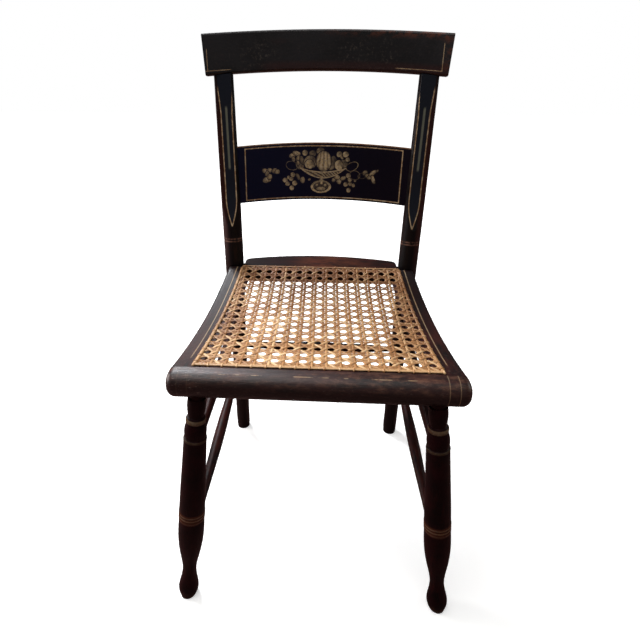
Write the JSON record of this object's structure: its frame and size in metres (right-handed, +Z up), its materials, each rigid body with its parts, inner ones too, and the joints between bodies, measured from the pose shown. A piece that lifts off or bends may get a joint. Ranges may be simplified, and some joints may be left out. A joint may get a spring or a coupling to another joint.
{
  "type": "caned side chair",
  "caption": "Painted wooden side chair with a woven cane seat, rolled seat front, turned legs, a stenciled slat and a bowed crest rail.",
  "frame": {"origin": "on the floor, under the centre of the chair's overall width and depth", "axes": "+X to the viewer's right seen from the front, +Y to the back, +Z up"},
  "size_m": [0.459, 0.5214, 0.857],
  "materials": {
    "painted_wood": "old black paint over red-brown, satin varnish, worn edges, gold striping",
    "stencilled_slat": "blue-black paint with a bronze-powder stencil, satin varnish",
    "cane": "natural woven cane, glossy skin",
    "bare_wood": "unpainted maple pegs"
  },
  "bodies": {
    "root": {"back_post_left": "painted_wood", "back_post_right": "painted_wood", "crest_rail": "painted_wood", "back_slat": "stencilled_slat", "seat_roll": "painted_wood", "seat_front_rail": "painted_wood", "seat_side_rail_left": "painted_wood", "seat_side_rail_right": "painted_wood", "seat_rear_rail": "painted_wood", "front_leg_left": "painted_wood", "front_leg_right": "painted_wood", "upper_stretcher_left": "painted_wood", "upper_stretcher_right": "painted_wood", "lower_stretcher_left": "painted_wood", "lower_stretcher_right": "painted_wood", "rear_stretcher": "painted_wood", "cane_panel": "cane", "cane_binder_front": "cane", "cane_binder_rear": "cane", "cane_binder_left": "cane", "cane_binder_right": "cane", "crest_pegs": "bare_wood", "slat_pins": "bare_wood", "seat_dowels": "bare_wood", "cane_pegs": "bare_wood"}
  },
  "joints": []
}
